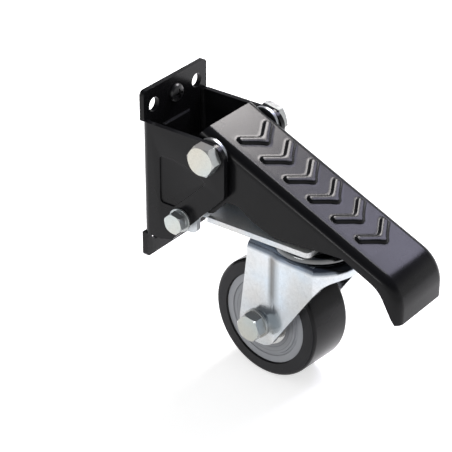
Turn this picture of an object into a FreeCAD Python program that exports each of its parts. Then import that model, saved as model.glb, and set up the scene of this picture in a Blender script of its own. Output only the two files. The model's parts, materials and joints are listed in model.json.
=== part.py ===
import FreeCAD, Part
import math
import os
import re

import Sketcher

# Retractable swivel caster in its lowered, locked position.
# Origin: middle of the mounting plate's back face. X points away from the face
# the plate is screwed to, Y along the pivot bolts (bolt heads at -Y), Z up.
# Every size is in millimetres.

SIZES = {
    # clearances of turning pieces, seated pieces, side faces and ball tracks
    "run_gap": 0.08, "seat_gap": 0.03, "face_gap": 0.05, "ball_gap": 0.05,
    # mounting bracket
    "sheet": 2.7, "plate_half": 25.0, "plate_height": 92.0, "plate_corner": 2.5, "bend_out": 5.0,
    "flange_top": 30.3, "flange_low": -32.0, "flange_reach": 51.3, "flange_corner": 8.0,
    "slant_top": 3.5, "slant_foot_x": 19.0, "slant_foot_z": -30.2, "slant_corner": 5.0,
    "screw_edge": 9.3, "low_screw_edge": 11.3, "screw_side": 8.0, "screw_hole": 3.8,
    "emboss": 1.0, "panel_top": 24.0, "panel_low": -22.0, "panel_half": 11.0,
    "dent_back": 12.0, "dent_top": 14.6, "dent_low": -11.0, "dent_corner": 2.0,
    "screw_shank": 2.3, "screw_head": 4.7, "screw_length": 10.0, "relief": 0.4,
    # pivots
    "pivot_edge": 9.8, "upper_z": 23.0, "upper_pin": 5.0, "spacer_width": 2.0, "spacer_radius": 8.6,
    "lower_x": 24.5, "lower_z": -16.9, "lower_pin": 3.0, "washer": 1.2,
    "upper_flats": 16.0, "upper_head": 6.4, "upper_nut": 4.2, "upper_collar": 1.2, "upper_end": 0.3,
    "lower_flats": 10.0, "lower_head": 4.0, "lower_nut": 4.6, "lower_collar": 1.6, "lower_end": 0.7,
    # pedal lever
    "wall": 2.5, "rear_inset": 5.5, "pedal_rear_z": 34.6, "pedal_slope": 0.4475, "pedal_length": 113.0,
    "pedal_tip_z": -35.2, "tip_round": 18.5, "tip_land": 2.6, "edge_round": 5.2, "rear_back": 13.0,
    "cheek_in": 11.8, "cheek_z": -18.85, "web_in": 32.4, "web_z": -8.9, "foot_out": 36.0,
    "foot_z": -11.5, "arch_z": -1.1, "arch_front": 15.1, "arch_back": 7.5, "nose_z": -10.6,
    "rib_first": 17.4, "rib_pitch": 15.1, "rib_mid": 1.2, "rib_half": 13.2, "rib_rise": 7.9,
    "rib_width": 6.2, "rib_height": 1.4, "rib_count": 6,
    # carrier plate
    "carrier_top": -12.3, "carrier_t": 2.8, "carrier_inset": 3.5, "carrier_out": 9.5,
    "carrier_back": 13.8, "neck_back": 4.3, "neck_inset": 3.4, "ear_front": 7.8, "ear_back": 7.5,
    "ear_gap": 0.5, "ear_low": 7.3, "ear_corner": 3.4,
    # swivel
    "kingpin_out": 64.5, "swivel_angle": -4.3, "pin_radius": 5.0, "head_radius": 9.0,
    "race_radius": 21.2, "race_t": 2.2, "race_depth": 3.95, "race_slot": 0.45,
    "ball_ring": 15.0, "ball": 2.5, "low_ring": 9.5, "low_ball": 2.0,
    # fork
    "fork_t": 2.5, "crown_round": 4.8, "crown_radius": 24.4, "joggle": 1.3,
    "joggle_rear": -13.0, "joggle_front": -9.5, "leg_back": 14.2,
    "race_well": 18.0, "well_depth": 2.3, "axle_x": -21.8, "axle_drop": 45.6, "axle_pin": 4.0,
    "leg_foot": 11.2, "leg_front_foot": 8.0, "skirt": 7.7, "leg_sweep": 10.0, "sweep_x": 24.5,
    "axle_flats": 13.0, "axle_head": 5.5, "axle_nut": 5.6, "axle_collar": 2.3, "axle_washer": 1.5,
    "axle_end": 1.6,
    # wheel
    "tyre_radius": 32.0, "tyre_half": 13.5, "tread_depth": 7.6, "tyre_round": 2.6,
    "core_inset": 0.5, "wheel_gap": 3.0, "bearing_radius": 14.0, "bearing_width": 8.0,
    "race_out": 12.0, "race_in": 7.9, "sleeve_radius": 6.0,
}

# Sizes and places that follow from the ones above.
DERIVED = {
    "screw_row_z": "plate_height / 2 - screw_edge",
    "low_row_z": "low_screw_edge - plate_height / 2",
    "screw_pitch": "plate_half - screw_side",
    "upper_x": "flange_reach - pivot_edge",
    "dent_span": "upper_x - dent_back",
    "pedal_half": "plate_half - sheet - spacer_width - 2 * face_gap",
    "rear_x": "upper_x - rear_inset",
    "tip_x": "rear_x + pedal_length",
    "tip_top": "pedal_rear_z - pedal_slope * pedal_length",
    "foot_x": "upper_x + foot_out",
    "drop_z": "wall * sqrt(1 + pedal_slope * pedal_slope)",
    "ear_half": "plate_half - sheet - ear_gap",
    "neck_half": "ear_half - neck_inset",
    "carrier_half": "plate_half - carrier_inset",
    "kingpin_x": "lower_x + kingpin_out",
    "plate_under": "carrier_top - carrier_t",
    "race_floor": "plate_under - race_t",
    "race_rim": "plate_under - race_depth",
    "crown_top": "race_rim - race_slot",
    "well_floor": "crown_top - well_depth",
    "ball_z": "crown_top + face_gap",
    "low_ball_z": "well_floor - fork_t - low_ball - 0.02",
    "low_floor": "low_ball_z - low_ball",
    "axle_z": "crown_top - axle_drop",
    "leg_rear": "tyre_half + wheel_gap + fork_t",
    "leg_front": "leg_rear + joggle",
    "leg_low": "axle_z - leg_foot",
    "skirt_low": "crown_top - skirt",
    "core_half": "tyre_half - core_inset",
    "tyre_bore": "tyre_radius - tread_depth",
    "roll_ring": "(race_out + race_in) / 2",
    "roll_ball": "(race_out - race_in) / 2 - ball_gap",
    "upper_length": "2 * plate_half + upper_nut + upper_collar + upper_end",
    "lower_length": "2 * plate_half + 3 * washer + lower_nut + lower_collar + lower_end",
    "axle_length": "2 * leg_rear + 2 * axle_washer + axle_nut + axle_collar + axle_end",
    # where the fork leg's front edge runs into the round sweep under the skirt
    "foot_front": "axle_x + leg_front_foot",
    "sweep_z": "skirt_low - leg_sweep",
    "sweep_reach": "sqrt((sweep_x - foot_front) ^ 2 + (sweep_z - leg_low) ^ 2)",
    "sweep_run": "sqrt(sweep_reach ^ 2 - leg_sweep ^ 2)",
    "touch_x": "foot_front + sweep_run * ((sweep_x - foot_front) * sweep_run"
               " - (sweep_z - leg_low) * leg_sweep) / sweep_reach ^ 2",
    "touch_z": "leg_low + sweep_run * ((sweep_x - foot_front) * leg_sweep"
               " + (sweep_z - leg_low) * sweep_run) / sweep_reach ^ 2",
}

doc = FreeCAD.newDocument("Caster")
sheet = doc.addObject("Spreadsheet::Sheet", "Dims")
for row, (name, value) in enumerate(list(SIZES.items()) + list(DERIVED.items()), 1):
    sheet.set("A%d" % row, name)
    sheet.set("B%d" % row, "=" + value if name in DERIVED else str(value))
    sheet.setAlias("B%d" % row, name)
doc.recompute()
S = {name: float(sheet.get(name)) for name in list(SIZES) + list(DERIVED)}


def bound(text):
    """the same sum with every size read from the sheet"""
    return re.sub(r"[a-z][a-z_]*[a-z]", lambda m: "Dims." + m.group() if m.group() in S else m.group(),
                  str(text))


def new_body(label, at=(0, 0, 0), turn=None):
    body = doc.addObject("PartDesign::Body", label)
    body.Label = label
    body.AllowCompound = True
    if turn:
        body.Placement = FreeCAD.Placement(FreeCAD.Vector(0, 0, 0), turn)
    for axis, text in zip("xyz", at):
        if str(text) != "0":
            body.setExpression("Placement.Base." + axis, bound(text))
    return body


def origin_part(body, role):
    return [o for o in body.Origin.OriginFeatures if o.Role == role][0]


def new_sketch(body, plane, label, lift=None):
    sketch = body.newObject("Sketcher::SketchObject", label)
    sketch.AttachmentSupport = [(origin_part(body, plane), "")]
    sketch.MapMode = "FlatFace"
    if lift is not None:
        sketch.setExpression("AttachmentOffset.Base.z", bound(lift))
    return sketch


def tie(sketch, kind, geo, spot, text):
    """distance of a point from the sketch origin, driven by a sum of sizes"""
    point = sketch.getPoint(geo, spot)
    value = point.x if kind == "DistanceX" else point.y
    index = sketch.addConstraint(Sketcher.Constraint(kind, -1, 1, geo, spot, value))
    sketch.setExpression("Constraints[%d]" % index, bound(text))


def outline(body, plane, points, label, lift=None):
    """closed outline of straight sides through the given corners"""
    sketch = new_sketch(body, plane, label, lift)
    count = len(points)
    start = [FreeCAD.Vector(40 * math.cos(2 * math.pi * i / count), 40 * math.sin(2 * math.pi * i / count), 0)
             for i in range(count)]
    for i in range(count):
        sketch.addGeometry(Part.LineSegment(start[i], start[(i + 1) % count]), False)
    for i in range(count):
        sketch.addConstraint(Sketcher.Constraint("Coincident", i, 2, (i + 1) % count, 1))
    for i, (across, up) in enumerate(points):
        tie(sketch, "DistanceX", i, 1, across)
        tie(sketch, "DistanceY", i, 1, up)
    return sketch


def circles(body, plane, rings, label, lift=None):
    """circles given as (across, up, radius)"""
    sketch = new_sketch(body, plane, label, lift)
    for i, (across, up, radius) in enumerate(rings):
        sketch.addGeometry(Part.Circle(FreeCAD.Vector(3 + 9 * i, 4, 0), FreeCAD.Vector(0, 0, 1), 3), False)
        tie(sketch, "DistanceX", i, 3, across)
        tie(sketch, "DistanceY", i, 3, up)
        index = sketch.addConstraint(Sketcher.Constraint("Radius", i, 3.0))
        sketch.setExpression("Constraints[%d]" % index, bound(radius))
    return sketch


def round_front(body, radius, half, label, lift):
    """round front about the origin between two flat sides, closed behind the origin"""
    sketch = new_sketch(body, "XY_Plane", label, lift)
    lean = math.asin(0.8)
    circle = Part.Circle(FreeCAD.Vector(0, 0, 0), FreeCAD.Vector(0, 0, 1), 20)
    sketch.addGeometry(Part.ArcOfCircle(circle, -lean, lean), False)
    corners = [FreeCAD.Vector(12, 16, 0), FreeCAD.Vector(-5, 16, 0), FreeCAD.Vector(-5, -16, 0),
               FreeCAD.Vector(12, -16, 0)]
    for first, last in zip(corners, corners[1:]):
        sketch.addGeometry(Part.LineSegment(first, last), False)
    for i in range(4):
        sketch.addConstraint(Sketcher.Constraint("Coincident", i, 2, (i + 1) % 4, 1))
    sketch.addConstraint(Sketcher.Constraint("Coincident", 0, 3, -1, 1))
    index = sketch.addConstraint(Sketcher.Constraint("Radius", 0, 20.0))
    sketch.setExpression("Constraints[%d]" % index, bound(radius))
    sketch.addConstraint(Sketcher.Constraint("Horizontal", 1))
    sketch.addConstraint(Sketcher.Constraint("Horizontal", 3))
    sketch.addConstraint(Sketcher.Constraint("Vertical", 2))
    tie(sketch, "DistanceX", 2, 1, "-5")
    tie(sketch, "DistanceY", 1, 1, half)
    tie(sketch, "DistanceY", 3, 1, "-(%s)" % half)
    return sketch


def settle():
    doc.recompute()


def solid_of(body):
    return body.Tip.Shape


def pad(body, sketch, length, both=False, back=False, taper=0):
    feature = body.newObject("PartDesign::Pad", sketch.Label + "Pad")
    feature.Profile = sketch
    feature.setExpression("Length", bound(length))
    feature.SideType = "Symmetric" if both else "One side"
    feature.Reversed = back
    feature.TaperAngle = taper
    sketch.Visibility = False
    settle()
    return feature


def pocket(body, sketch, length=None, both=False, back=False, taper=0):
    """cut, through everything where no length is given; it must remove material"""
    before = solid_of(body).Volume
    feature = body.newObject("PartDesign::Pocket", sketch.Label + "Cut")
    feature.Profile = sketch
    if length is None:
        feature.setExpression("Length", "400")
        both = True
    else:
        feature.setExpression("Length", bound(length))
    feature.SideType = "Symmetric" if both else "One side"
    feature.Reversed = back
    feature.TaperAngle = taper
    sketch.Visibility = False
    settle()
    if not feature.Shape.Volume < before - 1e-3:
        raise RuntimeError(sketch.Label + " cuts nothing")
    return feature


def turned(body, sketch, axis="V_Axis", cut=False):
    """revolve a half outline round an axis of its sketch"""
    before = solid_of(body).Volume if cut else 0
    kind = "Groove" if cut else "Revolution"
    feature = body.newObject("PartDesign::" + kind, sketch.Label + kind)
    feature.Profile = sketch
    feature.ReferenceAxis = (sketch, [axis])
    feature.Angle = 360
    sketch.Visibility = False
    settle()
    if cut and not feature.Shape.Volume < before - 1e-4:
        raise RuntimeError(sketch.Label + " cuts nothing")
    return feature


def edges(body, test):
    """names of the edges whose middle and spots close to both ends pass a test on (x, y, z)"""
    names = []
    for number, edge in enumerate(solid_of(body).Edges, 1):
        first, last = edge.ParameterRange
        spots = [edge.valueAt(first + (last - first) * share) for share in (0.02, 0.5, 0.98)]
        if all(test(p.x, p.y, p.z) for p in spots):
            names.append("Edge%d" % number)
    return names


def dress(body, kind, size, names):
    if not names:
        raise RuntimeError("no edge found on " + body.Label)
    base = body.Tip
    feature = body.newObject("PartDesign::" + kind, kind)
    feature.Base = (base, names)
    feature.setExpression("Radius" if kind == "Fillet" else "Size", bound(size))
    settle()
    if "Invalid" in feature.State:
        raise RuntimeError("%s on %s failed at %s" % (kind, body.Label, names))
    return feature


def near(a, b, slack=0.02):
    return abs(a - b) < slack


def corner(*spots):
    """picks the edges along Y through any of the given (x, z) spots"""
    return lambda x, y, z: any(near(x, a) and near(z, b) for a, b in spots)


# Mounting bracket: one folded sheet with two flanges, screw strips above and below.
bracket = new_body("mount_bracket")
side = outline(bracket, "XZ_Plane", [
    ("0", "flange_top"), ("flange_reach", "flange_top"), ("flange_reach", "slant_top"),
    ("slant_foot_x", "slant_foot_z"), ("slant_foot_x - 7", "flange_low"), ("0", "flange_low")], "FlangeSide")
pad(bracket, side, "2 * plate_half", both=True)
dress(bracket, "Fillet", "bend_out", edges(bracket, lambda x, y, z: near(x, 0) and near(abs(y), S["plate_half"])))
dress(bracket, "Fillet", "flange_corner", edges(
    bracket, lambda x, y, z: near(x, S["flange_reach"]) and near(z, S["flange_top"])))
dress(bracket, "Fillet", "slant_corner", edges(bracket, corner((S["flange_reach"], S["slant_top"]))))
hollow = outline(bracket, "XY_Plane", [
    ("sheet", "-(plate_half - sheet)"), ("flange_reach + 5", "-(plate_half - sheet)"),
    ("flange_reach + 5", "plate_half - sheet"), ("sheet", "plate_half - sheet")], "FlangeGap")
pocket(bracket, hollow)
dress(bracket, "Fillet", "bend_out - sheet", edges(
    bracket, lambda x, y, z: near(x, S["sheet"]) and near(abs(y), S["plate_half"] - S["sheet"])))
strips = outline(bracket, "YZ_Plane", [
    ("-plate_half", "flange_top + relief"), ("-(plate_half - bend_out)", "flange_top + relief"),
    ("-(plate_half - bend_out)", "flange_low - relief"), ("-plate_half", "flange_low - relief"),
    ("-plate_half", "-plate_height / 2"), ("plate_half", "-plate_height / 2"),
    ("plate_half", "flange_low - relief"), ("plate_half - bend_out", "flange_low - relief"),
    ("plate_half - bend_out", "flange_top + relief"), ("plate_half", "flange_top + relief"),
    ("plate_half", "plate_height / 2"), ("-plate_half", "plate_height / 2")], "ScrewStrips")
pad(bracket, strips, "sheet")
dress(bracket, "Fillet", "plate_corner", edges(
    bracket, lambda x, y, z: near(abs(y), S["plate_half"]) and near(abs(z), S["plate_height"] / 2)))
panel = outline(bracket, "YZ_Plane", [
    ("-panel_half", "panel_low"), ("panel_half", "panel_low"), ("panel_half", "panel_top"),
    ("-panel_half", "panel_top")], "RaisedPanel", "sheet - 0.2")
pad(bracket, panel, "emboss + 0.4", taper=-40)
panel_back = outline(bracket, "YZ_Plane", [
    ("-panel_half + 1.4", "panel_low + 1.4"), ("panel_half - 1.4", "panel_low + 1.4"),
    ("panel_half - 1.4", "panel_top - 1.4"), ("-panel_half + 1.4", "panel_top - 1.4")], "PanelBack")
pocket(bracket, panel_back, "emboss", back=True)
dent = [("dent_back", "dent_top"), ("dent_back", "dent_low"), ("dent_back + 0.29 * dent_span", "dent_low"),
        ("dent_back + 0.97 * dent_span", "dent_top - 6.2"), ("dent_back + 0.54 * dent_span", "dent_top - 1.2"),
        ("dent_back + 0.29 * dent_span", "dent_top")]
for label, start in (("Near", "plate_half"), ("Far", "-(plate_half - emboss)")):
    pocket(bracket, outline(bracket, "XZ_Plane", dent, label + "Dent", start), "emboss")
swell = [("dent_back - 1.2", "dent_top + 1.2"), ("dent_back - 1.2", "dent_low - 1.2"),
         ("dent_back + 0.31 * dent_span", "dent_low - 1.2"), ("dent_back + 1.03 * dent_span", "dent_top - 6"),
         ("dent_back + 0.56 * dent_span", "dent_top"), ("dent_back + 0.3 * dent_span", "dent_top + 1.2")]
for label, start in (("Near", "plate_half - sheet - emboss"), ("Far", "-(plate_half - sheet)")):
    pad(bracket, outline(bracket, "XZ_Plane", swell, label + "Swell", start), "emboss")
dent_spots = [(S["dent_back"], S["dent_top"]), (S["dent_back"], S["dent_low"]),
              (S["dent_back"] + 0.29 * S["dent_span"], S["dent_low"]),
              (S["dent_back"] + 0.97 * S["dent_span"], S["dent_top"] - 6.2)]
swell_spots = [(S["dent_back"] - 1.2, S["dent_top"] + 1.2), (S["dent_back"] - 1.2, S["dent_low"] - 1.2),
               (S["dent_back"] + 0.31 * S["dent_span"], S["dent_low"] - 1.2),
               (S["dent_back"] + 1.03 * S["dent_span"], S["dent_top"] - 6)]
dress(bracket, "Fillet", "dent_corner", edges(bracket, corner(*dent_spots, *swell_spots)))
screw_holes = circles(bracket, "YZ_Plane", [
    ("-screw_pitch", "screw_row_z", "screw_hole"), ("screw_pitch", "screw_row_z", "screw_hole"),
    ("-screw_pitch", "low_row_z", "screw_hole"), ("screw_pitch", "low_row_z", "screw_hole"),
    ("0", "screw_row_z", "screw_shank + 0.3")], "ScrewHoles")
pocket(bracket, screw_holes)
pivots = circles(bracket, "XZ_Plane", [
    ("upper_x", "upper_z", "upper_pin + seat_gap"),
    ("lower_x", "lower_z", "lower_pin + seat_gap")], "PivotHoles")
pocket(bracket, pivots)

# Pedal lever: one pressed channel, open below, with a cam nose, a foot and six raised chevrons.
pedal = new_body("pedal_lever")
pedal_side = outline(pedal, "XZ_Plane", [
    ("rear_x", "pedal_rear_z"), ("tip_x", "tip_top"), ("tip_x", "pedal_tip_z"), ("tip_x - tip_land", "pedal_tip_z"),
    ("tip_x - cheek_in", "cheek_z"), ("tip_x - web_in", "web_z"), ("foot_x", "foot_z"),
    ("foot_x - 13", "foot_z + 4.9"), ("upper_x + arch_front", "arch_z"), ("upper_x + arch_back", "arch_z"),
    ("upper_x - 0.8", "nose_z"), ("upper_x - 6.5", "nose_z"), ("upper_x - rear_back", "nose_z + 5.6"),
    ("upper_x - rear_back", "upper_z - 3"), ("upper_x - rear_back + 2", "upper_z + 5")], "PedalSide")
pad(pedal, pedal_side, "2 * pedal_half", both=True)
for radius, spots in (
        ("16", [(S["tip_x"] - S["cheek_in"], S["cheek_z"])]),
        ("12", [(S["tip_x"] - S["web_in"], S["web_z"]), (S["foot_x"], S["foot_z"])]),
        ("4", [(S["upper_x"] + S["arch_front"], S["arch_z"]), (S["upper_x"] + S["arch_back"], S["arch_z"])]),
        ("5", [(S["upper_x"] - 0.8, S["nose_z"]), (S["upper_x"] - 6.5, S["nose_z"])])):
    dress(pedal, "Fillet", radius, edges(pedal, corner(*spots)))
pedal_hollow = outline(pedal, "XZ_Plane", [
    ("10", "pedal_rear_z - drop_z + pedal_slope * (rear_x - 10)"),
    ("tip_x - wall", "tip_top - drop_z + pedal_slope * wall"),
    ("tip_x - wall", "pedal_tip_z - 20"), ("10", "pedal_tip_z - 20")], "PedalHollow")
pocket(pedal, pedal_hollow, "2 * (pedal_half - wall)", both=True)
dress(pedal, "Fillet", "tip_round - wall", edges(
    pedal, lambda x, y, z: near(x, S["tip_x"] - S["wall"]) and z > S["pedal_tip_z"] + 5))
dress(pedal, "Fillet", "tip_round", edges(
    pedal, lambda x, y, z: near(x, S["tip_x"]) and z > S["pedal_tip_z"] + 5))
lean = math.degrees(math.atan(S["pedal_slope"]))
bend_x = S["tip_x"] - S["tip_round"]
bend_z = S["tip_top"] - S["tip_round"] * math.tan(math.radians(45 - lean / 2))


def on_top_line(x, z, inset=0.0, drop=0.0):
    """on the outside of the pedal's top, its bend or its front, or on their inside"""
    straight = near(z, S["pedal_rear_z"] - drop - S["pedal_slope"] * (x - S["rear_x"]), 0.05)
    bent = near(math.hypot(x - bend_x, z - bend_z), S["tip_round"] - inset, 0.05)
    return straight or bent or near(x, S["tip_x"] - inset)


dress(pedal, "Fillet", "edge_round - wall", edges(
    pedal, lambda x, y, z: near(abs(y), S["pedal_half"] - S["wall"])
    and on_top_line(x, z, S["wall"], S["drop_z"])))
dress(pedal, "Fillet", "edge_round", edges(
    pedal, lambda x, y, z: near(abs(y), S["pedal_half"]) and on_top_line(x, z)))


def on_slope(sketch, depth):
    """lays a sketch on the pedal's sloping top, its origin at the top's rear edge"""
    sketch.AttachmentOffset = FreeCAD.Placement(
        FreeCAD.Vector(0, 0, 0), FreeCAD.Rotation(FreeCAD.Vector(0, 1, 0), lean))
    sketch.setExpression("AttachmentOffset.Base.x", bound("rear_x"))
    sketch.setExpression("AttachmentOffset.Base.z", bound("pedal_rear_z - (%s)" % depth))
    return sketch


def chevron_outline(label, slim):
    """arrow that points down the slope, slimmer by the given amount all round"""
    tail, front = "rib_first - rib_width + " + slim, "rib_first - " + slim
    near_end, far_end = "rib_mid - rib_half + " + slim, "rib_mid + rib_half - " + slim
    return outline(pedal, "XY_Plane", [
        (front, near_end + " + 1.1"), (front + " - 1", near_end), (tail + " + 1", near_end),
        (tail, near_end + " + 1.1"), (tail + " + rib_rise", "rib_mid"), (tail, far_end + " - 1.1"),
        (tail + " + 1", far_end), (front + " - 1", far_end), (front, far_end + " - 1.1"),
        (front + " + rib_rise", "rib_mid")], label)


chevron = on_slope(chevron_outline("Chevron", "0"), "0.4")
chevron_pad = pad(pedal, chevron, "rib_height + 0.4", taper=-25)
chevron_back = on_slope(chevron_outline("ChevronBack", "0.9"), "drop_z")
chevron_cut = pocket(pedal, chevron_back, "rib_height", back=True)
row = pedal.newObject("PartDesign::LinearPattern", "ChevronRow")
row.Originals = [chevron_pad, chevron_cut]
row.Direction = (chevron, ["H_Axis"])
row.setExpression("Length", bound("rib_pitch * (rib_count - 1)"))
row.setExpression("Occurrences", bound("rib_count"))
pedal.Tip = row
settle()
pocket(pedal, circles(pedal, "XZ_Plane", [("upper_x", "upper_z", "upper_pin + run_gap")], "PedalPivot"))

# Carrier plate: flat plate with two ears folded down round the lower pivot.
carrier = new_body("carrier_plate")
plan = outline(carrier, "XY_Plane", [
    ("lower_x + neck_back", "-ear_half"), ("lower_x + ear_front", "-ear_half"), ("lower_x + ear_front", "-neck_half"),
    ("lower_x + carrier_back", "-neck_half"), ("lower_x + carrier_back", "-carrier_half"),
    ("kingpin_x + carrier_out", "-carrier_half"), ("kingpin_x + carrier_out", "carrier_half"),
    ("lower_x + carrier_back", "carrier_half"), ("lower_x + carrier_back", "neck_half"),
    ("lower_x + ear_front", "neck_half"), ("lower_x + ear_front", "ear_half"), ("lower_x + neck_back", "ear_half")],
    "CarrierPlan", "plate_under")
pad(carrier, plan, "carrier_t")
ear = outline(carrier, "XZ_Plane", [
    ("lower_x - ear_back + 3", "carrier_top"), ("lower_x + ear_front", "carrier_top"),
    ("lower_x + ear_front", "lower_z - ear_low"), ("lower_x - ear_back", "lower_z - ear_low"),
    ("lower_x - ear_back", "carrier_top - 3")], "Ears")
pad(carrier, ear, "2 * ear_half", both=True)
dress(carrier, "Fillet", "ear_corner", edges(carrier, corner(
    (S["lower_x"] + S["ear_front"], S["lower_z"] - S["ear_low"]),
    (S["lower_x"] - S["ear_back"], S["lower_z"] - S["ear_low"]))))
between = outline(carrier, "XZ_Plane", [
    ("lower_x - ear_back - 5", "carrier_top + 5"), ("lower_x + neck_back", "carrier_top + 5"),
    ("lower_x + neck_back", "plate_under"), ("lower_x + ear_front + 0.5", "plate_under"),
    ("lower_x + ear_front + 0.5", "lower_z - ear_low - 5"),
    ("lower_x - ear_back - 5", "lower_z - ear_low - 5")], "BetweenEars")
pocket(carrier, between, "2 * (ear_half - carrier_t)", both=True)
dress(carrier, "Fillet", "2.4", edges(
    carrier, lambda x, y, z: near(z, S["carrier_top"]) and near(abs(y), S["ear_half"])
    and x < S["lower_x"] + S["carrier_back"]))
dress(carrier, "Fillet", "3", edges(
    carrier, lambda x, y, z: near(x, S["kingpin_x"] + S["carrier_out"])
    and near(abs(y), S["carrier_half"])))
pocket(carrier, circles(carrier, "XZ_Plane", [("lower_x", "lower_z", "lower_pin + run_gap")], "EarPivot"))
pocket(carrier, circles(carrier, "XY_Plane", [("kingpin_x", "0", "pin_radius + seat_gap")], "KingpinHole"))

# Swivel pieces turn about the kingpin axis and are drawn in that axis's own frame.
yaw = FreeCAD.Rotation(FreeCAD.Vector(0, 0, 1), S["swivel_angle"])
upper = new_body("upper_race", ("kingpin_x", 0, 0))
turned(upper, outline(upper, "XZ_Plane", [
    ("pin_radius + seat_gap", "plate_under"), ("race_radius", "plate_under"), ("race_radius", "race_rim"),
    ("race_radius - 2", "race_rim"), ("race_radius - 2", "race_floor"),
    ("pin_radius + seat_gap", "race_floor")], "UpperRaceHalf"))
dress(upper, "Fillet", "3.2", edges(
    upper, lambda x, y, z: near(z, S["plate_under"]) and near(math.hypot(x, y), S["race_radius"])))
turned(upper, circles(upper, "XZ_Plane", [("ball_ring", "ball_z", "ball + ball_gap")], "UpperTrack"), cut=True)

kingpin = new_body("kingpin", ("kingpin_x", 0, 0))
turned(kingpin, outline(kingpin, "XZ_Plane", [
    ("0", "carrier_top + 3"), ("head_radius - 3.5", "carrier_top + 3"), ("head_radius - 1.2", "carrier_top + 2.1"),
    ("head_radius", "carrier_top + 0.6"), ("head_radius", "carrier_top"), ("pin_radius", "carrier_top"),
    ("pin_radius", "low_floor - 1.9"), ("7.4", "low_floor - 1.9"), ("7.4", "low_floor - 2.9"),
    ("5.8", "low_floor - 4.1"), ("0", "low_floor - 4.1")], "KingpinHalf"))

lower = new_body("lower_race", ("kingpin_x", 0, 0))
turned(lower, outline(lower, "XZ_Plane", [
    ("pin_radius + seat_gap", "low_floor + 0.1"), ("12", "low_floor + 0.1"), ("12", "low_floor + 3"),
    ("13.4", "low_floor + 3"), ("13.4", "low_floor - 0.9"), ("12.4", "low_floor - 1.9"),
    ("pin_radius + seat_gap", "low_floor - 1.9")], "LowerRaceHalf"))
turned(lower, circles(lower, "XZ_Plane", [("low_ring", "low_ball_z", "low_ball + ball_gap")], "LowerTrack"), cut=True)

# Fork: deep-drawn crown with a rounded shoulder, two joggled legs and a sunk ball track.
fork = new_body("fork", ("kingpin_x", 0, 0), yaw)
pad(fork, round_front(fork, "crown_radius", "leg_front", "CrownPlan", "leg_low"), "crown_top - leg_low")
leg_plan = outline(fork, "XY_Plane", [
    ("axle_x - leg_back", "-leg_rear"), ("joggle_rear", "-leg_rear"), ("joggle_front", "-leg_front"),
    ("0.5 * crown_radius", "-leg_front"), ("0.5 * crown_radius", "leg_front"), ("joggle_front", "leg_front"),
    ("joggle_rear", "leg_rear"), ("axle_x - leg_back", "leg_rear")], "LegPlan", "leg_low")
pad(fork, leg_plan, "crown_top - leg_low")
dress(fork, "Fillet", "crown_round", edges(
    fork, lambda x, y, z: near(z, S["crown_top"]) and x > S["axle_x"] - S["leg_back"] + 0.2))
pocket(fork, round_front(fork, "crown_radius - fork_t", "leg_front - fork_t", "CrownHollow",
                               "crown_top - fork_t"), "100")
leg_hollow = outline(fork, "XY_Plane", [
    ("axle_x - leg_back - 4", "-(leg_rear - fork_t)"), ("joggle_rear + 0.8", "-(leg_rear - fork_t)"),
    ("joggle_front + 0.8", "-(leg_front - fork_t)"), ("0.5 * crown_radius", "-(leg_front - fork_t)"),
    ("0.5 * crown_radius", "leg_front - fork_t"), ("joggle_front + 0.8", "leg_front - fork_t"),
    ("joggle_rear + 0.8", "leg_rear - fork_t"), ("axle_x - leg_back - 4", "leg_rear - fork_t")],
    "LegHollow", "crown_top - fork_t")
pocket(fork, leg_hollow, "100")
pad(fork, circles(fork, "XY_Plane", [("0", "0", "race_well + 2.2")], "TrackUnderside",
                  "well_floor - fork_t"), "fork_t")
pocket(fork, circles(fork, "XY_Plane", [("0", "0", "race_well")], "TrackWell", "crown_top"), "well_depth")
rear_cut = outline(fork, "XZ_Plane", [
    ("axle_x - 30", "crown_top + 5"), ("axle_x - 6.6", "crown_top + 5"), ("axle_x - 6.8", "crown_top - 8"),
    ("axle_x - leg_foot", "axle_z"), ("axle_x - leg_foot", "axle_z - 40"), ("axle_x - 30", "axle_z - 40")], "RearCut")
pocket(fork, rear_cut)
foot_cut = outline(fork, "XZ_Plane", [
    ("foot_front", "leg_low"), ("touch_x", "touch_z"), ("sweep_x", "sweep_z"), ("sweep_x", "skirt_low"),
    ("sweep_x + 20", "skirt_low"), ("sweep_x + 20", "leg_low - 20"), ("foot_front", "leg_low - 20")], "FootCut")
pocket(fork, foot_cut)
pocket(fork, circles(fork, "XZ_Plane", [("sweep_x", "sweep_z", "leg_sweep")], "SkirtSweep"))
dress(fork, "Fillet", "leg_foot - 1", edges(fork, corner((S["axle_x"] - S["leg_foot"], S["leg_low"]))))
dress(fork, "Fillet", "leg_foot - 1", edges(fork, corner((S["foot_front"], S["leg_low"]))))
turned(fork, circles(fork, "XZ_Plane", [("ball_ring", "ball_z", "ball + ball_gap")], "ForkTrack"), cut=True)
pocket(fork, circles(fork, "XY_Plane", [("0", "0", "pin_radius + run_gap")], "CrownHole"))
pocket(fork, circles(fork, "XZ_Plane", [("axle_x", "axle_z", "axle_pin + seat_gap")], "AxleHoles"))


def ball_ring(label, at, turn, ring, level, radius, count):
    """a ring of separate balls round the local Z axis"""
    balls = []
    for i in range(count):
        ball = doc.addObject("Part::Sphere", "%s_%d" % (label, i))
        ball.setExpression("Radius", bound(radius))
        angle = "(%s)" % (360.0 * i / count)
        ball.setExpression("Placement.Base.x", bound("(%s) * cos%s" % (ring, angle)))
        ball.setExpression("Placement.Base.y", bound("(%s) * sin%s" % (ring, angle)))
        ball.setExpression("Placement.Base.z", bound(level))
        balls.append(ball)
    group = doc.addObject("Part::Compound", label)
    group.Label = label
    group.Links = balls
    group.Placement = FreeCAD.Placement(FreeCAD.Vector(0, 0, 0), turn)
    for axis, text in zip("xyz", at):
        if str(text) != "0":
            group.setExpression("Placement.Base." + axis, bound(text))
    settle()
    return group


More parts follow.
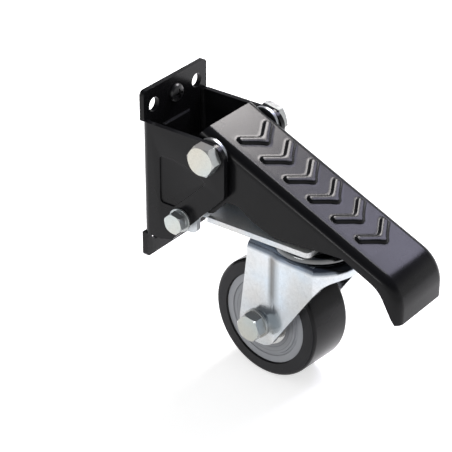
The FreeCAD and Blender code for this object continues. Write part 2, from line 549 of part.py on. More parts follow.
upper_balls = ball_ring("upper_race_balls", ("kingpin_x", 0, 0), yaw, "ball_ring", "ball_z", "ball", 16)
lower_balls = ball_ring("lower_race_balls", ("kingpin_x", 0, 0), yaw, "low_ring", "low_ball_z", "low_ball", 13)

# Fasteners and rings are turned about their own Z axis and then laid along Y.
to_near = FreeCAD.Rotation(FreeCAD.Vector(1, 0, 0), 90)
to_far = FreeCAD.Rotation(FreeCAD.Vector(1, 0, 0), -90)
to_front = FreeCAD.Rotation(FreeCAD.Vector(0, 1, 0), 90)


def hexagon(body, flats, label, lift, twist):
    corners = []
    for i in range(6):
        angle = math.radians(60 * i + twist)
        corners.append(("%.5f * %s" % (math.cos(angle) / math.sqrt(3), flats),
                        "%.5f * %s" % (math.sin(angle) / math.sqrt(3), flats)))
    return outline(body, "XY_Plane", corners, label, lift)


def trim_corners(body, flats, level, sign, label):
    """turned bevel that takes the six corners off an end face"""
    turned(body, outline(body, "XZ_Plane", [
        ("%s / 2 - 0.15" % flats, "%s + %s" % (level, 0.1 * sign)),
        ("%s * 0.62" % flats, "%s + %s" % (level, 0.1 * sign)),
        ("%s * 0.62" % flats, "%s - %s * %s" % (level, 0.075 * sign, flats))], label), cut=True)


def hex_bolt(label, at, turn, flats, head, radius, length, twist=0):
    """bolt with its head on the local +Z side of its origin and its shank below; sizes are names"""
    body = new_body(label, at, turn)
    pad(body, hexagon(body, flats, "Head", "0", twist), head)
    trim_corners(body, flats, head, 1, "HeadBevel")
    pad(body, circles(body, "XY_Plane", [("0", "0", radius)], "Shank"), length, back=True)
    dress(body, "Chamfer", "0.16 * " + radius, edges(body, lambda x, y, z: z < 0.01 - S[length]))
    return body


def hex_nut(label, at, turn, flats, height, radius, collar, twist=0):
    """nut with a round locking collar on its outer end"""
    body = new_body(label, at, turn)
    pad(body, hexagon(body, flats, "Hex", "0", twist), height)
    trim_corners(body, flats, height, 1, "HexBevel")
    pad(body, circles(body, "XY_Plane", [("0", "0", "%s / 2 - 0.9" % flats)], "Collar", height), collar)
    dress(body, "Fillet", "0.9", edges(body, lambda x, y, z: near(z, S[height] + S[collar])))
    pocket(body, circles(body, "XY_Plane", [("0", "0", radius + " + seat_gap")], "NutBore"))
    return body


def tube(label, at, turn, outer, inner, length):
    body = new_body(label, at, turn)
    pad(body, circles(body, "XY_Plane", [("0", "0", outer), ("0", "0", inner)], "Ring"), length)
    return body


def ring_set(label, at, turn, rings):
    """separate tubes on one axis: (outer, inner, start, length)"""
    tubes = []
    for i, (outer, inner, start, length) in enumerate(rings):
        solid = doc.addObject("Part::Cylinder", "%s_solid_%d" % (label, i))
        bore = doc.addObject("Part::Cylinder", "%s_bore_%d" % (label, i))
        for item, radius in ((solid, outer), (bore, inner)):
            item.setExpression("Radius", bound(radius))
            item.setExpression("Height", bound(length))
            item.setExpression("Placement.Base.z", bound(start))
        cut = doc.addObject("Part::Cut", "%s_ring_%d" % (label, i))
        cut.Base = solid
        cut.Tool = bore
        tubes.append(cut)
    group = doc.addObject("Part::Compound", label)
    group.Label = label
    group.Links = tubes
    group.Placement = FreeCAD.Placement(FreeCAD.Vector(0, 0, 0), turn)
    for axis, text in zip("xyz", at):
        if str(text) != "0":
            group.setExpression("Placement.Base." + axis, bound(text))
    settle()
    return group


hex_bolt("upper_pivot_bolt", ("upper_x", "-plate_half", "upper_z"), to_near,
         "upper_flats", "upper_head", "upper_pin", "upper_length", 20)
hex_nut("upper_pivot_nut", ("upper_x", "plate_half", "upper_z"), to_far,
        "upper_flats", "upper_nut", "upper_pin", "upper_collar", 10)
tube("pivot_spacer_left", ("upper_x", "-(pedal_half + face_gap)", "upper_z"), to_near,
     "spacer_radius", "upper_pin + seat_gap", "spacer_width")
tube("pivot_spacer_right", ("upper_x", "pedal_half + face_gap", "upper_z"), to_far,
     "spacer_radius", "upper_pin + seat_gap", "spacer_width")
hex_bolt("lower_pivot_bolt", ("lower_x", "-(plate_half + 2 * washer)", "lower_z"), to_near,
         "lower_flats", "lower_head", "lower_pin", "lower_length", 15)
hex_nut("lower_pivot_nut", ("lower_x", "plate_half + washer", "lower_z"), to_far,
        "lower_flats", "lower_nut", "lower_pin", "lower_collar")
ring_set("lower_pivot_washers", ("lower_x", 0, "lower_z"), to_near, [
    ("6.2", "lower_pin + seat_gap", "plate_half", "washer"),
    ("5.2", "lower_pin + seat_gap", "plate_half + washer", "washer"),
    ("6.2", "lower_pin + seat_gap", "-(plate_half + washer)", "washer")])

screw = new_body("mounting_screw", ("sheet", 0, "screw_row_z"), to_front)
turned(screw, outline(screw, "XZ_Plane", [
    ("0", "-screw_length"), ("0.5 * screw_shank", "2 - screw_length"), ("screw_shank", "4 - screw_length"),
    ("screw_shank", "0"), ("screw_head", "0"), ("screw_head", "0.9"), ("screw_head - 0.5", "1.8"),
    ("screw_head - 1.6", "2.4"), ("screw_head - 3.2", "2.7"), ("0", "2.8")], "ScrewHalf"))
cross = outline(screw, "XY_Plane", [
    ("-2.5", "-0.55"), ("-0.55", "-0.55"), ("-0.55", "-2.5"), ("0.55", "-2.5"), ("0.55", "-0.55"),
    ("2.5", "-0.55"), ("2.5", "0.55"), ("0.55", "0.55"), ("0.55", "2.5"), ("-0.55", "2.5"),
    ("-0.55", "0.55"), ("-2.5", "0.55")], "CrossSlot", "0.9")
pocket(screw, cross, "4", back=True)

# Axle and wheel parts lie on the wheel axis, turned with the swivel.
angle = math.radians(S["swivel_angle"])
axle_at = ("kingpin_x + axle_x * %.8f" % math.cos(angle), "axle_x * %.8f" % math.sin(angle), "axle_z")


def along_axle(start):
    """spot on the wheel axis, start millimetres towards +Y of its middle"""
    return ("%s + (%s) * %.8f" % (axle_at[0], start, -math.sin(angle)),
            "%s + (%s) * %.8f" % (axle_at[1], start, math.cos(angle)), "axle_z")


axle_near = yaw.multiply(to_near)
axle_far = yaw.multiply(to_far)
hex_bolt("axle_bolt", along_axle("-(leg_rear + axle_washer)"), axle_near,
         "axle_flats", "axle_head", "axle_pin", "axle_length")
hex_nut("axle_nut", along_axle("leg_rear + axle_washer"), axle_far,
        "axle_flats", "axle_nut", "axle_pin", "axle_collar", 12)
leg_inside = "leg_rear - fork_t"
ring_set("axle_washers", along_axle("0"), axle_near, [
    ("7.6", "axle_pin + seat_gap", "leg_rear", "axle_washer"),
    ("7.6", "axle_pin + seat_gap", "-(leg_rear + axle_washer)", "axle_washer")])
ring_set("axle_sleeve", along_axle("0"), axle_near, [
    ("sleeve_radius", "axle_pin + seat_gap", "-(%s)" % leg_inside, "2 * (%s)" % leg_inside)])
ring_set("hub_spacers", along_axle("0"), axle_near, [
    ("8.8", "sleeve_radius + 0.02", "core_half + face_gap", leg_inside + " - core_half - face_gap"),
    ("8.8", "sleeve_radius + 0.02", "-(%s)" % leg_inside, leg_inside + " - core_half - face_gap")])
ring_set("bearing_inner_rings", along_axle("0"), axle_near, [
    ("race_in", "sleeve_radius + 0.02", "core_half - bearing_width", "bearing_width"),
    ("race_in", "sleeve_radius + 0.02", "-core_half", "bearing_width")])
ring_set("bearing_outer_rings", along_axle("0"), axle_near, [
    ("bearing_radius", "race_out", "core_half - bearing_width", "bearing_width"),
    ("bearing_radius", "race_out", "-core_half", "bearing_width")])
ring_set("bearing_seals", along_axle("0"), axle_near, [
    ("race_out - 0.02", "race_in + run_gap", "core_half - 1.1", "0.7"),
    ("race_out - 0.02", "race_in + run_gap", "0.4 - core_half", "0.7")])

roll = []
for row_index, middle in enumerate(("core_half - bearing_width / 2", "-core_half + bearing_width / 2")):
    for i in range(9):
        ball = doc.addObject("Part::Sphere", "roll_%d_%d" % (row_index, i))
        ball.setExpression("Radius", bound("roll_ball"))
        around = "(%s)" % (40.0 * i)
        ball.setExpression("Placement.Base.x", bound("roll_ring * cos" + around))
        ball.setExpression("Placement.Base.y", bound("roll_ring * sin" + around))
        ball.setExpression("Placement.Base.z", bound(middle))
        roll.append(ball)
bearing_balls = doc.addObject("Part::Compound", "bearing_balls")
bearing_balls.Label = "bearing_balls"
bearing_balls.Links = roll
bearing_balls.Placement = FreeCAD.Placement(FreeCAD.Vector(0, 0, 0), axle_near)
for axis, text in zip("xyz", axle_at):
    bearing_balls.setExpression("Placement.Base." + axis, bound(text))

core = new_body("wheel_core", along_axle("0"), yaw)
turned(core, outline(core, "XY_Plane", [
    ("race_out + 0.6", "-(core_half - bearing_width)"), ("race_out + 0.6", "core_half - bearing_width"),
    ("bearing_radius + 0.01", "core_half - bearing_width"), ("bearing_radius + 0.01", "core_half"),
    ("19.2", "core_half"), ("19.7", "core_half - 0.9"), ("20.5", "core_half - 0.9"),
    ("21", "core_half - 0.4"), ("tyre_bore", "core_half - 0.4"), ("tyre_bore", "-(core_half - 0.4)"),
    ("21", "-(core_half - 0.4)"), ("20.5", "-(core_half - 0.9)"), ("19.7", "-(core_half - 0.9)"),
    ("19.2", "-core_half"), ("bearing_radius + 0.01", "-core_half"),
    ("bearing_radius + 0.01", "-(core_half - bearing_width)")], "CoreHalf"))

tyre = new_body("tyre", along_axle("0"), yaw)
turned(tyre, outline(tyre, "XY_Plane", [
    ("tyre_bore", "-(core_half - 0.4)"), ("tyre_bore + 0.6", "-tyre_half"), ("tyre_radius", "-tyre_half"),
    ("tyre_radius", "tyre_half"), ("tyre_bore + 0.6", "tyre_half"), ("tyre_bore", "core_half - 0.4")], "TyreHalf"))
dress(tyre, "Fillet", "tyre_round", edges(
    tyre, lambda x, y, z: near(math.hypot(x, z), S["tyre_radius"]) and near(abs(y), S["tyre_half"])))

NODES = [
    "mount_bracket", "mounting_screw", "upper_pivot_bolt", "upper_pivot_nut", "pivot_spacer_left",
    "pivot_spacer_right", "lower_pivot_bolt", "lower_pivot_nut", "lower_pivot_washers", "pedal_lever",
    "carrier_plate", "upper_race", "kingpin", "lower_race", "fork", "upper_race_balls", "lower_race_balls",
    "axle_bolt", "axle_nut", "axle_washers", "axle_sleeve", "hub_spacers", "bearing_inner_rings",
    "wheel_core", "tyre", "bearing_outer_rings", "bearing_balls", "bearing_seals"]

doc.recompute()
for item in doc.Objects:
    if "Invalid" in item.State or "Error" in item.State:
        raise RuntimeError("%s failed: %s" % (item.Label, item.State))
os.makedirs("parts", exist_ok=True)
for label in NODES:
    shape = doc.getObjectsByLabel(label)[0].Shape
    if shape.isNull() or not shape.isValid() or not shape.Solids:
        raise RuntimeError(label + " has no valid shape")
    shape.exportStep("parts/%s.step" % label)
    box = shape.BoundBox
    print("%-20s solids %2d volume %9.1f  x %.1f..%.1f y %.1f..%.1f z %.1f..%.1f" % (
        label, len(shape.Solids), shape.Volume, box.XMin, box.XMax, box.YMin, box.YMax, box.ZMin, box.ZMax))
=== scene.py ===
import json
import math

import bmesh
import bpy
from bpy.props import FloatProperty, FloatVectorProperty, PointerProperty
from bpy.types import Operator, Panel, PropertyGroup
from mathutils import Matrix, Vector

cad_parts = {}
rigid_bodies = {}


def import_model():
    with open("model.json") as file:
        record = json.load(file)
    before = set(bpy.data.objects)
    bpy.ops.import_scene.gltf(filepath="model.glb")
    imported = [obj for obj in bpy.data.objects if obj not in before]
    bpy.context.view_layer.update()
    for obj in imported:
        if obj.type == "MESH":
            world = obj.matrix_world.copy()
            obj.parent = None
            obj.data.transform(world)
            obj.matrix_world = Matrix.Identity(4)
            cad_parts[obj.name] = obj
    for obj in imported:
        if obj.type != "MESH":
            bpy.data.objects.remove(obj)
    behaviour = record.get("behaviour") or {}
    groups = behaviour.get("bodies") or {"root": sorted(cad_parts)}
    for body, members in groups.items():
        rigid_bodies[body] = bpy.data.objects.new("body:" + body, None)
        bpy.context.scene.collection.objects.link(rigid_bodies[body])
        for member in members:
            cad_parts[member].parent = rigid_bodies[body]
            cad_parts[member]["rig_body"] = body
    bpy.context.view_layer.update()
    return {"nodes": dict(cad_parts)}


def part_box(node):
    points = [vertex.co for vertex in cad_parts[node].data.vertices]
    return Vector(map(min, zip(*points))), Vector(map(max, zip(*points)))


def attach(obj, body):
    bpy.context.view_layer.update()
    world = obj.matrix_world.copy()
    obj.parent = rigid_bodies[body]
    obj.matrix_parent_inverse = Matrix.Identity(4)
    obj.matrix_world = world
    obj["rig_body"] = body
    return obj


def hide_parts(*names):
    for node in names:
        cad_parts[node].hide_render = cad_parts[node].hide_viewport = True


# Retractable swivel caster: the looks of the CAD model, in metres and in the CAD frame.
# Origin: middle of the mounting plate's back face, X towards the pedal's tip, Z up.

bl_info = {
    "name": "Retractable swivel caster",
    "version": (1, 0, 0),
    "blender": (4, 5, 0),
    "location": "View3D > Sidebar > Caster",
    "description": "Builds the dressed caster round its CAD frame",
    "category": "Object",
}

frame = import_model()
NODES = frame["nodes"]
MM = 0.001
# The swivel's turn at rest, from the frame's axis to the drawn fork.
FORK_TURN = math.radians(-4.3)
PIVOT_AXIS = Vector((0, 1, 0))
AXLE_AXIS = Vector((-math.sin(FORK_TURN), math.cos(FORK_TURN), 0.0))
# Depth of the finest grain, and the part of a noise's range that is put to use.
GRAIN_DEPTH = 0.05 * MM
GRAIN_RANGE = (0.3, 0.7)


# ---------------------------------------------------------------- properties

class CasterStageSettings(PropertyGroup):
    camera_place: FloatVectorProperty(
        name="Camera place", description="Where the camera stands", size=3,
        default=(0.55381, -0.69319, 0.46476), subtype="TRANSLATION", unit="LENGTH")
    camera_azimuth: FloatProperty(
        name="Azimuth", description="Turn of the view round Z, 0 looking along +Y",
        default=math.radians(36.88), subtype="ANGLE", unit="ROTATION")
    camera_elevation: FloatProperty(
        name="Elevation", description="Height of the view above the horizon",
        default=math.radians(29.66), subtype="ANGLE", unit="ROTATION")
    lens: FloatProperty(
        name="Lens", description="Focal length on a 36 mm sensor", default=158.48, unit="CAMERA")
    sky: FloatProperty(name="Sky", description="Strength of the even studio light", default=0.45)
    ceiling: FloatVectorProperty(
        name="Ceiling", description="Colour of the room overhead, above the white walls", size=3,
        default=(0.09, 0.1, 0.13), subtype="COLOR")
    floor_glow: FloatProperty(
        name="Floor glow", description="White added to the floor where the eye sees it",
        default=0.62)
    back_light: FloatProperty(
        name="Back light", description="Power of the softbox behind the caster",
        default=7.4, unit="POWER")
    side_light: FloatProperty(
        name="Side light", description="Power of the softbox behind on the right",
        default=3.0, unit="POWER")
    top_light: FloatProperty(
        name="Top light", description="Power of the narrow softbox above the back light",
        default=3.4, unit="POWER")
    key_light: FloatProperty(
        name="Key light", description="Power of the softbox at the front left",
        default=2.0, unit="POWER")


class CasterFinishSettings(PropertyGroup):
    coat: FloatVectorProperty(
        name="Powder coat", description="Colour of the black coat", size=3,
        default=(0.007, 0.007, 0.0078), subtype="COLOR")
    zinc: FloatVectorProperty(
        name="Zinc", description="Colour of the plated sheet", size=3,
        default=(0.60, 0.625, 0.645), subtype="COLOR")
    core: FloatVectorProperty(
        name="Wheel core", description="Colour of the moulded core", size=3,
        default=(0.35, 0.362, 0.385), subtype="COLOR")
    tread: FloatVectorProperty(
        name="Tread", description="Colour of the tyre", size=3,
        default=(0.022, 0.022, 0.024), subtype="COLOR")
    edge: FloatProperty(
        name="Edge", description="Radius of a broken edge", default=0.25 * MM, unit="LENGTH")


# ---------------------------------------------------------------- node tools

def add(tree, kind, inputs=None, **settings):
    """a node with its settings and inputs; an input is a value or another node's socket"""
    made = tree.nodes.new(kind)
    for name, value in settings.items():
        setattr(made, name, value)
    for name, value in (inputs or {}).items():
        if isinstance(value, bpy.types.NodeSocket):
            tree.links.new(value, made.inputs[name])
        else:
            made.inputs[name].default_value = value
    return made


def ramp(tree, factor, stops):
    """colour ramp from (place, colour) pairs, a colour being a grey value or three values"""
    made = add(tree, "ShaderNodeValToRGB", {"Fac": factor})
    bar = made.color_ramp
    while len(bar.elements) < len(stops):
        bar.elements.new(0.5)
    for element, (place, colour) in zip(bar.elements, stops):
        element.position = place
        element.color = (colour, colour, colour, 1) if isinstance(colour, float) else (*colour, 1)
    return made.outputs["Color"]


def group(name, sockets_in, sockets_out):
    """empty shader node group with the given (name, kind, default) sockets"""
    tree = bpy.data.node_groups.new(name, "ShaderNodeTree")
    for label, kind, value in sockets_in:
        socket = tree.interface.new_socket(label, in_out="INPUT", socket_type="NodeSocket" + kind)
        if value is not None:
            socket.default_value = value
    for label, kind in sockets_out:
        tree.interface.new_socket(label, in_out="OUTPUT", socket_type="NodeSocket" + kind)
    return tree, add(tree, "NodeGroupInput").outputs, add(tree, "NodeGroupOutput").inputs


def scaled(colour, share):
    """a colour with each of its parts brought to a share"""
    return tuple(share * part for part in colour)


def multiplied(tree, first, second):
    """the colours of two sockets, multiplied"""
    made = add(tree, "ShaderNodeMix", data_type="RGBA", blend_type="MULTIPLY")
    made.inputs["Factor"].default_value = 1.0
    tree.links.new(first, made.inputs["A"])
    tree.links.new(second, made.inputs["B"])
    return made.outputs["Result"]


def mapped(tree, value, start, end, low=0.0, high=1.0, blend="LINEAR"):
    """a value brought from start..end to low..high"""
    return add(tree, "ShaderNodeMapRange", {
        "Value": value, "From Min": start, "From Max": end, "To Min": low, "To Max": high},
        interpolation_type=blend).outputs["Result"]


def joined(tree, first, second, operation):
    """the result of a calculation with two values"""
    return add(tree, "ShaderNodeMath", {0: first, 1: second}, operation=operation).outputs[0]


def own_place(tree, middle=None):
    """Object coordinates, or those round a spot on the fork with X along the fork"""
    place = add(tree, "ShaderNodeTexCoord").outputs["Object"]
    if middle is None:
        return place
    return add(tree, "ShaderNodeMapping", {
        "Vector": place, "Location": Vector(middle), "Rotation": (0, 0, FORK_TURN)},
        vector_type="TEXTURE").outputs[0]


def seen_directly(tree):
    """1 for rays that the camera, a gloss or a glass sends, 0 for the rays that light a surface"""
    path = add(tree, "ShaderNodeLightPath").outputs
    seen = joined(tree, path["Is Camera Ray"], path["Is Glossy Ray"], "MAXIMUM")
    return joined(tree, seen, path["Is Transmission Ray"], "MAXIMUM")


def fine_grain_group():
    """even small-scale grain as a mask and a normal, and slow drifts as a second mask"""
    tree, given, out = group(
        "Fine grain",
        [("Size", "Float", 900.0), ("Drift", "Float", 60.0), ("Strength", "Float", 0.1)],
        [("Grain", "Float"), ("Drift", "Float"), ("Normal", "Vector")])
    place = own_place(tree)
    grain = add(tree, "ShaderNodeTexNoise", {
        "Vector": place, "Scale": given["Size"], "Detail": 3.0})
    drift = add(tree, "ShaderNodeTexNoise", {
        "Vector": place, "Scale": given["Drift"], "Detail": 2.0})
    bump = add(tree, "ShaderNodeBump", {
        "Height": grain.outputs["Fac"], "Strength": given["Strength"], "Distance": GRAIN_DEPTH})
    tree.links.new(grain.outputs["Fac"], out["Grain"])
    tree.links.new(drift.outputs["Fac"], out["Drift"])
    tree.links.new(bump.outputs["Normal"], out["Normal"])
    return tree


def zinc_bloom_group():
    """crystal mottling, fine speckle and faint rainbow tint of a bright zinc plating"""
    tree, given, out = group(
        "Zinc bloom",
        [("Colour", "Color", (0.7, 0.7, 0.7, 1)), ("Crystal", "Float", 500.0),
         ("Speckle", "Float", 2500.0), ("Strength", "Float", 0.1)],
        [("Colour", "Color"), ("Shine", "Float"), ("Normal", "Vector")])
    place = own_place(tree)
    cells = add(tree, "ShaderNodeTexVoronoi", {"Vector": place, "Scale": given["Crystal"]})
    speckle = add(tree, "ShaderNodeTexNoise", {
        "Vector": place, "Scale": given["Speckle"], "Detail": 2.0}).outputs["Fac"]
    tint = add(tree, "ShaderNodeTexNoise", {"Vector": place, "Scale": 45.0, "Detail": 2.0})
    hue = ramp(tree, tint.outputs["Fac"], [
        (0.35, (0.94, 1.0, 1.06)), (0.5, (1.0, 1.0, 1.0)), (0.66, (1.04, 1.0, 0.96))])
    shade = ramp(tree, cells.outputs["Color"], [(0.0, 0.93), (1.0, 1.03)])
    pits = ramp(tree, speckle, [(0.3, 0.86), (0.45, 1.0)])
    colour = given["Colour"]
    for layer in (hue, shade, pits):
        colour = multiplied(tree, colour, layer)
    bump = add(tree, "ShaderNodeBump", {
        "Height": speckle, "Strength": given["Strength"], "Distance": GRAIN_DEPTH})
    tree.links.new(colour, out["Colour"])
    tree.links.new(mapped(tree, speckle, *GRAIN_RANGE), out["Shine"])
    tree.links.new(bump.outputs["Normal"], out["Normal"])
    return tree


# ---------------------------------------------------------------- finishes

# Radius of the kingpin's riveted head, by which its axis is found in its box.
KINGPIN_HEAD = 9.0 * MM
# Millimetres from the kingpin's axis and below the crown's top: the width of the painted band at
# the crease, where it starts and fades out down the leg, and how far down the crown's shoulder is
# painted dark. Then the two painted colours: a brownish painted reflection of the wooden leg in
# the crease, and a navy painted reflection of the pedal's dark underside on the shoulder.
PAINTED_FORK_REFLECTIONS = {"across": (-15.6, -6.6), "start": (-2.0, -6.0), "fade": (-40.0, -24.0),
          "shoulder": (0.0, -8.0), "tint": (0.31, 0.288, 0.268), "crown": (0.3, 0.33, 0.38)}
# The core's painted shade, as shares of grey from the first to the last radius in millimetres:
# darker rings where the mould steps down, and darker towards the hub, painted in place of the
# shade in those steps.
CORE_RADII = (10.0, 25.0)
CORE_PAINTED_SHADE = [(0.0, 0.72), (0.36, 0.8), (0.385, 0.5), (0.41, 0.86), (0.51, 0.9), (0.53, 0.6),
              (0.555, 0.93), (0.70, 1.0), (0.72, 0.62), (0.745, 1.06), (1.0, 1.04)]


def new_material(name):
    """a material with its node tree and its Principled shader"""
    made = bpy.data.materials.new(name)
    made.use_nodes = True
    tree = made.node_tree
    return made, tree, tree.nodes["Principled BSDF"]


def placed_group(tree, name, make, values):
    """a group's node in a material's tree, with its own values"""
    node = add(tree, "ShaderNodeGroup", node_tree=bpy.data.node_groups.get(name) or make())
    for label, value in values.items():
        node.inputs[label].default_value = value
    return node.outputs


def grained(name, colour, rough, size, drift, strength, metallic=0.0, spread=0.18, **fixed):
    """material with fine grain: its colour drifts by the spread, its roughness with the grain"""
    made, tree, shader = new_material(name)
    grain = placed_group(tree, "Fine grain", fine_grain_group, {
        "Size": size, "Drift": drift, "Strength": strength})
    first, last = GRAIN_RANGE
    shade = ramp(tree, grain["Drift"], [
        (first, scaled(colour, 1 - spread)), (last, scaled(colour, 1 + spread))])
    tree.links.new(shade, shader.inputs["Base Color"])
    tree.links.new(mapped(tree, grain["Grain"], *GRAIN_RANGE, *rough), shader.inputs["Roughness"])
    tree.links.new(grain["Normal"], shader.inputs["Normal"])
    shader.inputs["Metallic"].default_value = metallic
    for label, value in fixed.items():
        shader.inputs[label.replace("_", " ")].default_value = value
    return made


def painted_fork_reflections(tree):
    """painted reflections on the fork: a darker brownish band where the drawn legs step in behind
    the kingpin, and a darker navy crown shoulder, painted in place of the reflections of the
    wooden leg and of the pedal's underside
    """
    middle = (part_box("kingpin")[0].x + KINGPIN_HEAD, 0.0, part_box("fork")[1].z)
    split = add(tree, "ShaderNodeSeparateXYZ", {0: own_place(tree, middle)}).outputs
    across = mapped(tree, split["X"], *scaled(PAINTED_FORK_REFLECTIONS["across"], MM))
    band = ramp(tree, across, [(0.0, 0.0), (0.3, 1.0), (0.55, 0.85), (1.0, 0.0)])
    start = mapped(tree, split["Z"], *scaled(PAINTED_FORK_REFLECTIONS["start"], MM), blend="SMOOTHSTEP")
    fade = mapped(tree, split["Z"], *scaled(PAINTED_FORK_REFLECTIONS["fade"], MM), blend="SMOOTHSTEP")
    mask = joined(tree, band, joined(tree, start, fade, "MULTIPLY"), "MULTIPLY")
    shoulder = mapped(tree, split["Z"], *scaled(PAINTED_FORK_REFLECTIONS["shoulder"], MM))
    crown = ramp(tree, shoulder, [
        (0.0, PAINTED_FORK_REFLECTIONS["crown"]), (0.42, PAINTED_FORK_REFLECTIONS["crown"]), (0.62, (1.0, 1.0, 1.0))])
    return multiplied(tree, ramp(tree, mask, [(0.0, 1.0), (1.0, PAINTED_FORK_REFLECTIONS["tint"])]), crown)


def plated(name, colour, crystal, speckle, strength, rough, metallic=1.0, with_painted_reflections=False):
    """zinc-plated steel, its roughness between two values with the speckle, with the fork's
    painted reflections when asked for
    """
    made, tree, shader = new_material(name)
    bloom = placed_group(tree, "Zinc bloom", zinc_bloom_group, {
        "Colour": (*colour, 1), "Crystal": crystal, "Speckle": speckle, "Strength": strength})
    shade = bloom["Colour"]
    # painted reflections in the fork's crease and on its crown shoulder
    if with_painted_reflections:
        shade = multiplied(tree, shade, painted_fork_reflections(tree))
    tree.links.new(shade, shader.inputs["Base Color"])
    tree.links.new(mapped(tree, bloom["Shine"], 0.0, 1.0, *rough), shader.inputs["Roughness"])
    tree.links.new(bloom["Normal"], shader.inputs["Normal"])
    shader.inputs["Metallic"].default_value = metallic
    return made


def core_with_painted_shade(colour):
    """the wheel's core, with painted shade in darker rings round the axle where its mould steps
    down, and darker towards the hub
    """
    made = grained("grey_core", colour, (0.42, 0.52), 2600.0, 40.0, 0.15, spread=0.05)
    tree = made.node_tree
    base = tree.nodes["Principled BSDF"].inputs["Base Color"]
    plain = base.links[0].from_socket
    low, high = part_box("wheel_core")
    flat = add(tree, "ShaderNodeVectorMath", {
        0: own_place(tree, (low + high) / 2), 1: (1, 0, 1)}, operation="MULTIPLY")
    radius = add(tree, "ShaderNodeVectorMath", {0: flat.outputs[0]}, operation="LENGTH")
    share = mapped(tree, radius.outputs["Value"], *scaled(CORE_RADII, MM))
    # the core's colour darkened by the painted shade rings
    tree.links.new(multiplied(tree, plain, ramp(tree, share, CORE_PAINTED_SHADE)), base)
    return made


def make_finish(name):
    """the material of one finish"""
    look = bpy.context.scene.caster_finish
    zinc, coat, tread = tuple(look.zinc), tuple(look.coat), tuple(look.tread)
    if name == "grey_core":
        return core_with_painted_shade(tuple(look.core))
    # colour, roughness, scales of the grain and the drift, bump strength, specular level
    black = {
        "black_coat": (coat, (0.19, 0.24), 1400.0, 50.0, 0.02, 0.15),
        # the tread takes 0.4 of the tyre's colour, which is painted shade, and a glossier finish,
        # which is the rubber's own; the sides keep the tyre's colour
        "black_tread": (scaled(tread, 0.4), (0.2, 0.27), 1800.0, 60.0, 0.03, 0.14),
        "tyre_side": (tread, (0.5, 0.65), 2400.0, 60.0, 0.15, 0.22),
    }
    if name in black:
        *values, specular = black[name]
        return grained(name, *values, Specular_IOR_Level=specular)
    # colour, roughness, scales of the grain and the drift, bump strength, metallic, spread
    plain = {
        "black_screw": (coat, (0.3, 0.42), 2000.0, 120.0, 0.2),
        "bearing_steel": ((0.62, 0.62, 0.61), (0.16, 0.26), 5000.0, 200.0, 0.05, 1.0, 0.05),
        "seal_brown": ((0.16, 0.10, 0.05), (0.4, 0.55), 2500.0, 300.0, 0.3),
    }
    if name in plain:
        return grained(name, *plain[name])
    # colour, scales of the crystals and the speckle, bump strength, roughness, metallic, and
    # whether the fork's painted reflections are added
    zincs = {
        "zinc_sheet": (zinc, 700.0, 3200.0, 0.06, (0.3, 0.18)),
        "zinc_plate": (scaled(zinc, 1.1), 900.0, 1700.0, 0.9, (0.55, 0.36), 0.6),
        # the fork's zinc carries the painted reflections in its crease and on its shoulder
        "zinc_fork": (scaled(zinc, 0.94), 700.0, 2600.0, 0.08, (0.27, 0.15), 1.0, True),
        # the upper race's zinc brought down to 0.22: a painted dark reflection of the pedal's
        # underside
        "race_steel": (scaled(zinc, 0.22), 900.0, 3000.0, 0.05, (0.24, 0.12)),
        "spacer_zinc": (scaled(zinc, 0.55), 1500.0, 4200.0, 0.1, (0.45, 0.3)),
        "zinc_bolt": ((0.46, 0.465, 0.45), 1500.0, 4200.0, 0.1, (0.24, 0.13), 0.65),
        "bolt_face": ((0.50, 0.505, 0.465), 1500.0, 2600.0, 0.6, (0.44, 0.28)),
    }
    return plated(name, *zincs[name])


MATERIALS = {}


def finish_of(name):
    """the material of one finish, made once"""
    if name not in MATERIALS:
        MATERIALS[name] = make_finish(name)
    return MATERIALS[name]


# ---------------------------------------------------------------- piece tools

# Faces that meet at less than the first angle shade as one, edges over the second are broken,
# and faces that meet at less than the third are joined into one flat.
SMOOTH_TURN = math.radians(30)
BEVEL_TURN = math.radians(32)
FLAT_TURN = math.radians(0.3)
MERGE_REACH = 0.002 * MM
# An edge that turns more than this (radians) is a rim or a corner, not the wall of a curve.
RIM_TURN = 1.0
# Millimetres past the reach of any piece.
FAR = 1000.0


def settle_piece(work, node, slot, bevel=0.0, finish=None):
    """object from a bmesh that stands for a CAD node, with its finish (the slot's finish unless
    another is given) and its body
    """
    name = node + "_refined"
    mesh = bpy.data.meshes.new(name)
    work.to_mesh(mesh)
    work.free()
    piece = bpy.data.objects.new(name, mesh)
    bpy.context.scene.collection.objects.link(piece)
    mesh.materials.append(finish_of(finish or slot))
    if bevel:
        edge = piece.modifiers.new("Broken edges", "BEVEL")
        edge.width = bevel
        edge.segments = 2
        edge.limit_method = "ANGLE"
        edge.angle_limit = BEVEL_TURN
        edge.harden_normals = True
        edge.use_clamp_overlap = True
    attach(piece, NODES[node]["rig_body"])
    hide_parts(node)
    return piece


def add_face_finish(piece, finish, axis, closeness):
    """a second finish on the faces whose normals are close to an axis, 1 being along it"""
    piece.data.materials.append(finish_of(finish))
    for face in piece.data.polygons:
        if abs(face.normal.dot(axis)) > closeness:
            face.material_index = 1


def smooth_by_angle(work):
    """smooth faces, with the edges that turn more than the angle kept sharp"""
    for face in work.faces:
        face.smooth = True
    for edge in work.edges:
        edge.smooth = len(edge.link_faces) == 2 and edge.calc_face_angle(0.0) < SMOOTH_TURN


def joined_copy(node):
    """bmesh of a CAD node with its loose triangles joined"""
    work = bmesh.new()
    work.from_mesh(NODES[node].data)
    bmesh.ops.remove_doubles(work, verts=work.verts, dist=MERGE_REACH)
    return work


def clean_flats(work):
    """joins the triangles of each flat face into one face"""
    bmesh.ops.dissolve_limit(work, angle_limit=FLAT_TURN, verts=work.verts, edges=work.edges)


